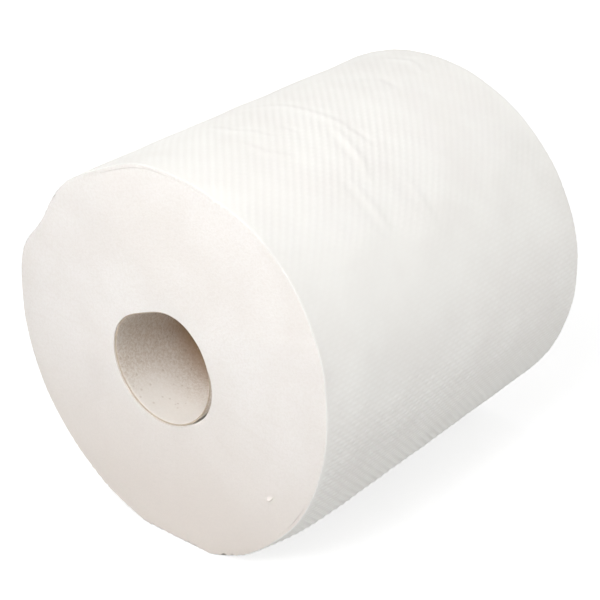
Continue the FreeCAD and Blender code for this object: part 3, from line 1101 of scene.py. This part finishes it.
@dataclass
class WoundWeb:
    """The web of turns under the sleeve, with its two cut ends and the bore for the core."""

    form: RollForm
    sleeve: OuterTurns
    columns: int = 360
    face_rings: int = 52
    face_start: float = 30.0
    face_reach: float = 66.0
    mean_radius: float = 64.0
    turn_waves: float = 15.0
    tuck: float = 0.03
    bore: float = 30.85
    gap_angle: float = 340.0
    gap_shift: float = 8.0
    gap_shift_deep: float = 5.2
    gap_radius: float = 24.85
    gap_depth: float = 18.0
    mouth_depth: float = 60.0
    mouth_angle: float = 112.0
    mouth_spread: float = 32.0
    mouth_press: float = 4.2
    ring_rise: float = 0.02
    crease: tuple[tuple[float, float], tuple[float, float]] = ((72.7, -31.9), (86.7, -37.8))
    crease_width: float = 1.4
    crease_rise: float = 0.2
    cloud_length: float = 30.0
    cloud_rise: float = 0.1
    cloud_seed: int = 21

    def crease_at(self, x: np.ndarray, z: np.ndarray) -> np.ndarray:
        """The height of the near face's one short crease.

        Args:
            x: The place across, from the roll's axis.
            z: The place up, from the roll's axis.

        Returns:
            Heights in millimetres.
        """
        start, end = np.array(self.crease)
        part, away, _ = from_line(x, z, start, end - start)
        fade = np.sin(np.pi * (0.1 + 0.8 * part))
        return self.crease_rise * fade * bell(away, self.crease_width)

    def mouth_draw(self, angle: np.ndarray, inset: float) -> np.ndarray:
        """How far the bore and the board are pressed in at the mouth, fading into the bore."""
        deep = max(0.0, 1.0 - inset / self.mouth_depth)
        return self.mouth_press * deep**2 * hump(angle, self.mouth_angle, self.mouth_spread)

    def bore_radius(self, angle: np.ndarray, inset: float) -> np.ndarray:
        """The bore's radius about the core's axis, pressed at the mouth and opened at its gap.

        Args:
            angle: The angle round the core's axis.
            inset: The distance from the near face.

        Returns:
            The radius.
        """
        found = self.bore - self.mouth_draw(angle, inset)
        if inset < self.gap_depth:
            part = inset / self.gap_depth
            shift = self.gap_shift + (self.gap_shift_deep - self.gap_shift) * part
            turn = np.radians(angle - self.gap_angle)
            reach = np.sqrt(self.gap_radius**2 - (shift * np.sin(turn)) ** 2)
            found = np.maximum(found, shift * np.cos(turn) + reach)
        return found

    def face_rise(self, share: np.ndarray, angle: np.ndarray, side: int) -> np.ndarray:
        """How far a face's points stand out of its plane.

        Args:
            share: The way from the bore, nought, to the rim, one.
            angle: The angle round the axis.
            side: Which face, for its own unevenness.

        Returns:
            Heights in millimetres, above or below the plane.
        """
        reach = self.face_start + share * self.face_reach
        x, z = reach * np.cos(np.radians(angle)), reach * np.sin(np.radians(angle))
        cloud = Ripple(self.cloud_length, self.cloud_rise, self.cloud_seed + side).at(x, z)
        turns = np.sin(share * self.turn_waves * math.tau + np.radians(angle))
        return cloud + self.ring_rise * turns + (self.crease_at(x, z) if side == 0 else 0.0)

    def face_ring(self, share: float, angle: np.ndarray, side: int) -> np.ndarray:
        """One ring of a cut end.

        Args:
            share: The way from the bore, nought, to the rim, one.
            angle: The angle round the axis.
            side: Nought for the near face and one for the far face.

        Returns:
            The ring's points.
        """
        form = self.form
        inset = 0.0 if side == 0 else form.width
        plane = form.near + inset
        outward = -1.0 if side == 0 else 1.0
        inner = form.core_place(angle, self.bore_radius(angle, inset), plane)
        outer = form.place(angle, self.web_radius(angle, plane), plane)
        ring = inner + (outer - inner) * share
        hold = ease(share, 0.0, 0.08) * ease(1.0 - share, 0.0, 0.12)
        ring[:, 1] += outward * self.face_rise(share, angle, side) * hold
        return ring

    def web_radius(self, angle: np.ndarray, along: float) -> np.ndarray:
        """The radius at which the sleeve lies on the web.

        Args:
            angle: The angle round the axis.
            along: The place along the axis.

        Returns:
            The radius.
        """
        sleeve = self.sleeve
        held = sleeve.outer_radius(angle, np.full(len(angle), along), tail=False)
        inside = held - sleeve.sheet_depth(angle)
        return inside - sleeve.opening(angle, along - self.form.near) + self.tuck

    def build(self, wound: bpy.types.Material) -> bpy.types.Object:
        """Builds the web.

        Args:
            wound: The material of its cut ends.

        Returns:
            The piece.
        """
        form = self.form
        angle = np.arange(self.columns) * FULL_TURN / self.columns
        round_by = np.append(np.radians(angle), math.tau) * self.mean_radius
        solid = RingSolid("wound_web")
        shares = np.linspace(0.0, 1.0, self.face_rings)
        shares = np.concatenate([[0.0, 0.001], shares[1:-1], [0.999, 1.0]])
        for inset in (199.95, 150.0, 100.0, 60.0, 40.0, 24.0, 18.1, 17.9, 12.0, 6.0, 2.0, 0.05):
            radius = self.bore_radius(angle, inset)
            solid.add(form.core_place(angle, radius, form.near + inset), -inset, round_by)
        for share in shares:
            ring = self.face_ring(float(share), angle, 0)
            solid.add(ring, share * self.face_reach, round_by)
        for inset in (0.05, 2.0, 5.0, 9.0, 14.0, 30.0, 60.0, 100.0, 150.0, 199.95):
            along = form.near + inset
            ring = form.place(angle, self.web_radius(angle, along), along)
            solid.add(ring, self.face_reach + inset, round_by)
        for share in shares[::-1]:
            ring = self.face_ring(float(share), angle, 1)
            solid.add(ring, share * self.face_reach, round_by)
        return solid.build([wound])


@dataclass
class CoreTube:
    """The board tube, pressed in at its mouth, with a wound seam along its inner ply."""

    form: RollForm
    web: WoundWeb
    inner: float = 30.0
    outer: float = 30.8
    recess: float = 0.5
    columns: int = 240
    seam_step: float = 0.16
    seam_lead: float = 150.0
    seam_start: float = 40.0
    seam_fade: float = 16.0
    fuzz: Ripple = Ripple(3.0, 0.06, 31)
    chamfer: float = 0.22
    rim_round: float = 0.25

    def seam(self, angle: np.ndarray, inset: float) -> np.ndarray:
        """The step of the inner ply's wound edge.

        Args:
            angle: The angle round the core's axis.
            inset: The distance from the near face.

        Returns:
            How far the wall stands in, fading away from the edge.
        """
        at = self.seam_start + inset * FULL_TURN / self.seam_lead
        past = (angle - at) % FULL_TURN
        return self.seam_step * np.exp(-past / self.seam_fade)

    def build(self, board: bpy.types.Material) -> bpy.types.Object:
        """Builds the tube.

        Args:
            board: Its material.

        Returns:
            The piece.
        """
        form = self.form
        angle = np.arange(self.columns) * FULL_TURN / self.columns
        round_by = np.append(np.radians(angle), math.tau) * self.inner
        near, far = self.recess, form.width - self.recess
        inside, outside = self.inner + self.chamfer, self.outer - self.chamfer
        first, last = near + self.rim_round, far - self.rim_round
        solid = RingSolid("core_board")
        wall = np.concatenate([np.linspace(first, 60.0, 48), np.linspace(64.0, last, 34)])
        rows = [(self.inner, float(inset)) for inset in wall]
        rows += [(inside, far), (outside, far), (self.outer, last)]
        rows += [(self.outer, inset) for inset in (150.0, 100.0, 60.0, 40.0, 20.0, 8.0)]
        rows += [(self.outer, first), (outside, near), (inside, near)]
        fuzz = self.fuzz.at(round_by[:-1], np.zeros(self.columns))
        for radius, inset in rows:
            found = radius - self.web.mouth_draw(angle, inset)
            if radius < (self.inner + self.outer) / 2:
                found = found - self.seam(angle, inset)
            ring = form.core_place(angle, found, form.near + inset)
            if inset <= near:
                ring[:, 1] += fuzz
            solid.add(ring, inset, round_by)
        return solid.build([board])


@dataclass
class Nick:
    """A sliver of the cut end that has been caught and stands away from the face."""

    form: RollForm
    x: float = 62.6
    z: float = -48.2
    turn: float = 24.0
    length: float = 4.4
    breadth: float = 1.7
    rise: float = 1.7
    thickness: float = 0.16
    root_lift: float = 0.1
    root_share: float = 0.4
    curl: float = 1.6
    steps: int = 14
    strips: int = 5

    def build(self, wound: bpy.types.Material) -> bpy.types.Object:
        """Builds the sliver as a closed curled flake, joined to the face along its upper edge.

        Args:
            wound: The material of the cut ends.

        Returns:
            The piece.
        """
        middle = np.array([self.x, self.form.near, self.form.axis_height + self.z])
        turn = math.radians(self.turn)
        along = np.array([math.cos(turn), 0.0, math.sin(turn)])
        across = np.array([math.sin(turn), 0.0, -math.cos(turn)])
        points: list[np.ndarray] = []
        for part in np.linspace(0.03, 0.97, self.steps):
            bow = math.sin(math.pi * part)
            top, under = [], []
            for share in np.linspace(0.0, 1.0, self.strips):
                spot = middle + along * self.length * (part - 0.5)
                spot = spot + across * self.breadth * (bow * share - self.root_share * bow)
                lift = self.root_lift + self.rise * bow * share**self.curl
                top.append(spot - np.array([0.0, lift, 0.0]))
                under.append(spot - np.array([0.0, lift - self.thickness, 0.0]))
            points += top + under[::-1]
        ring = 2 * self.strips
        faces = [tuple(range(ring)), tuple(range(len(points) - 1, len(points) - ring - 1, -1))]
        for row in range(self.steps - 1):
            for side in range(ring):
                beside = (side + 1) % ring
                start, ahead = row * ring, (row + 1) * ring
                faces.append((start + side, ahead + side, ahead + beside, start + beside))
        mesh = bpy.data.meshes.new("nicked_sliver")
        mesh.from_pydata([tuple(spot * METRE) for spot in points], [], faces)
        solid = bmesh.new()
        solid.from_mesh(mesh)
        bmesh.ops.recalc_face_normals(solid, faces=solid.faces)
        solid.to_mesh(mesh)
        solid.free()
        layer = mesh.uv_layers.new(name="laid_out")
        corners = [points[loop.vertex_index][[0, 2]] for loop in mesh.loops]
        layer.data.foreach_set("uv", (np.array(corners) * DECIMETRE).ravel())
        mesh.materials.append(wound)
        return put("nicked_sliver", mesh)


@dataclass(frozen=True)
class Lamp:
    """A soft square lamp and the place that it faces."""

    name: str
    place: tuple[float, float, float]
    size: float
    power: float
    aim: tuple[float, float, float] = (0.0, 0.0, 0.08)
    spread: float = 180.0

    def hang(self) -> None:
        """Hangs the lamp in its place."""
        data = bpy.data.lights.new(self.name, "AREA")
        data.shape = "SQUARE"
        data.size = self.size
        data.energy = self.power
        data.spread = math.radians(self.spread)
        lamp = put(self.name, data)
        lamp.location = self.place
        aim = Vector(self.aim) - Vector(self.place)
        lamp.rotation_euler = aim.to_track_quat("-Z", "Y").to_euler()


@dataclass
class Studio:
    """The camera, the lamps and the pale floor, with places and sizes in metres."""

    form: RollForm
    turn: float = 39.77
    tilt: float = 26.55
    distance: float = 0.9072
    lens: float = 108.28
    sensor: float = 36.0
    shift: tuple[float, float] = (-0.0083, -0.0187)
    sight: float = 50.0
    world_level: float = 0.25
    floor_tone: float = 0.5
    floor_lift: float = 0.72
    floor_half: float = 8.0
    lift_from: float = 0.28
    lift_full: float = 0.8
    lamps: tuple[Lamp, ...] = (
        Lamp("front", (0.1, -1.0, 1.1), 0.9, 9.90),
        Lamp("top_left", (-0.9, 0.1, 1.3), 1.0, 5.70),
        Lamp("front_left", (-0.8, -1.2, 0.9), 1.0, 0.93),
        Lamp("low_right", (1.2, 0.0, 0.12), 0.5, 6.90),
        Lamp("face_top", (0.2, -1.1, 0.9), 0.3, 0.23, (0.05, -0.1, 0.27), 30.0),
        Lamp("back", (-0.5, 1.4, 0.9), 1.0, 3.0),
    )

    def set_camera(self) -> None:
        """Sets the camera to the view from the lower right, above the floor."""
        turn, tilt = math.radians(self.turn), math.radians(self.tilt)
        level = math.cos(tilt)
        back = Vector((math.sin(turn) * level, -math.cos(turn) * level, math.sin(tilt)))
        data = bpy.data.cameras.new("camera")
        data.lens = self.lens
        data.sensor_width = self.sensor
        data.shift_x, data.shift_y = self.shift
        data.clip_end = self.sight
        camera = put("camera", data)
        middle = Vector((0.0, 0.0, self.form.axis_height * METRE))
        camera.location = middle + back * self.distance
        camera.rotation_euler = (-back).to_track_quat("-Z", "Y").to_euler()
        bpy.context.scene.camera = camera

    @staticmethod
    def seen_rays(bench: Bench) -> Socket:
        """One for rays that show the backdrop: from the camera, a gloss or through glass.

        Args:
            bench: The bench of the material or world.

        Returns:
            The socket.
        """
        path = bench.add("ShaderNodeLightPath")
        seen, glossy, through = (
            path.outputs[f"Is {kind} Ray"] for kind in ("Camera", "Glossy", "Transmission")
        )
        return bench.maths("MAXIMUM", bench.maths("MAXIMUM", seen, glossy), through)

    def set_world(self) -> None:
        """Sets a plain white surround, white to the camera and dimmer as light."""
        world = bpy.data.worlds.new("surround")
        world.use_nodes = True
        bpy.context.scene.world = world
        bench = Bench(world.node_tree)
        seen = self.seen_rays(bench)
        level = bench.add("ShaderNodeMapRange", {0: seen, 3: self.world_level, 4: 1.0})
        ground = world.node_tree.nodes["Background"]
        ground.inputs["Color"].default_value = WHITE
        bench.tree.links.new(level.outputs[0], ground.inputs["Strength"])

    def add_floor(self) -> None:
        """Lays the pale floor, which keeps the roll's shadow, with a painted glow seen by the
        camera that grows to full white away from the roll.
        """
        half = self.floor_half
        mesh = bpy.data.meshes.new("floor")
        corners = [(-half, -half, 0.0), (half, -half, 0.0), (half, half, 0.0), (-half, half, 0.0)]
        mesh.from_pydata(corners, [], [(0, 1, 2, 3)])
        floor = put("floor", mesh)
        material = bpy.data.materials.new("pale_floor")
        material.use_nodes = True
        bench = Bench(material.node_tree)
        shader = material.node_tree.nodes["Principled BSDF"]
        tone = self.floor_tone
        shader.inputs["Base Color"].default_value = (tone, tone, tone, 1.0)
        shader.inputs["Roughness"].default_value = 1.0
        shader.inputs["Specular IOR Level"].default_value = 0.0
        shader.inputs["Emission Color"].default_value = WHITE
        place = bench.add("ShaderNodeTexCoord").outputs["Object"]
        reach = bench.add("ShaderNodeVectorMath", {0: place}, operation="LENGTH").outputs["Value"]
        # Painted light: a glow seen by the camera, from the floor lift within 0.28 m to full white
        # at 0.8 m.
        level = bench.span(reach, self.lift_from, self.lift_full, start=self.floor_lift)
        lift = bench.maths("MULTIPLY", self.seen_rays(bench), level)
        bench.tree.links.new(lift, shader.inputs["Emission Strength"])
        mesh.materials.append(material)

    def build(self) -> None:
        """Sets the whole studio."""
        bpy.context.scene.view_settings.view_transform = "Standard"
        self.set_camera()
        self.set_world()
        self.add_floor()
        for lamp in self.lamps:
            lamp.hang()


@dataclass
class TowelRoll:
    """The whole roll, built piece by piece."""

    form: RollForm

    def build(self) -> list[bpy.types.Object]:
        """Builds every piece and hangs it on the frame.

        Returns:
            The pieces.
        """
        effects = Effects()
        embossed = EmbossedPaper("embossed_paper", sheen=0.1).make(effects)
        wound = WoundPaper("wound_paper", sheen=0.1).make(effects)
        board = CoreBoard("core_board").make(effects)
        sleeve = OuterTurns(self.form)
        web = WoundWeb(self.form, sleeve)
        tube = CoreTube(self.form, web)
        outer = self.hang(sleeve.build(EmbossPress(), embossed, wound), Slot.PAPER, Node.WEB)
        inner = self.hang(web.build(wound), Slot.PAPER, Node.WEB)
        core = self.hang(tube.build(board), Slot.CARDBOARD, Node.CORE)
        nick = self.hang(Nick(self.form).build(wound), Slot.PAPER, Node.WEB)
        return [outer, inner, core, nick]

    @staticmethod
    def hang(piece: bpy.types.Object, slot: Slot, node: Node) -> bpy.types.Object:
        """Makes a piece ride on the roll's body and stand for its node.

        Args:
            piece: The piece.
            slot: The material slot for its finish; not used.
            node: The node that it stands for.

        Returns:
            The piece.
        """
        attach(piece, "root")
        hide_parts(node.value)
        return piece


def main() -> None:
    """Builds the studio and the roll, and reports each piece."""
    form = RollForm()
    Studio(form).build()
    for piece in TowelRoll(form).build():
        triangles = sum(len(face.vertices) - 2 for face in piece.data.polygons)
        log.info("%s: %d triangles", piece.name, triangles)


if __name__ == "__main__":
    main()
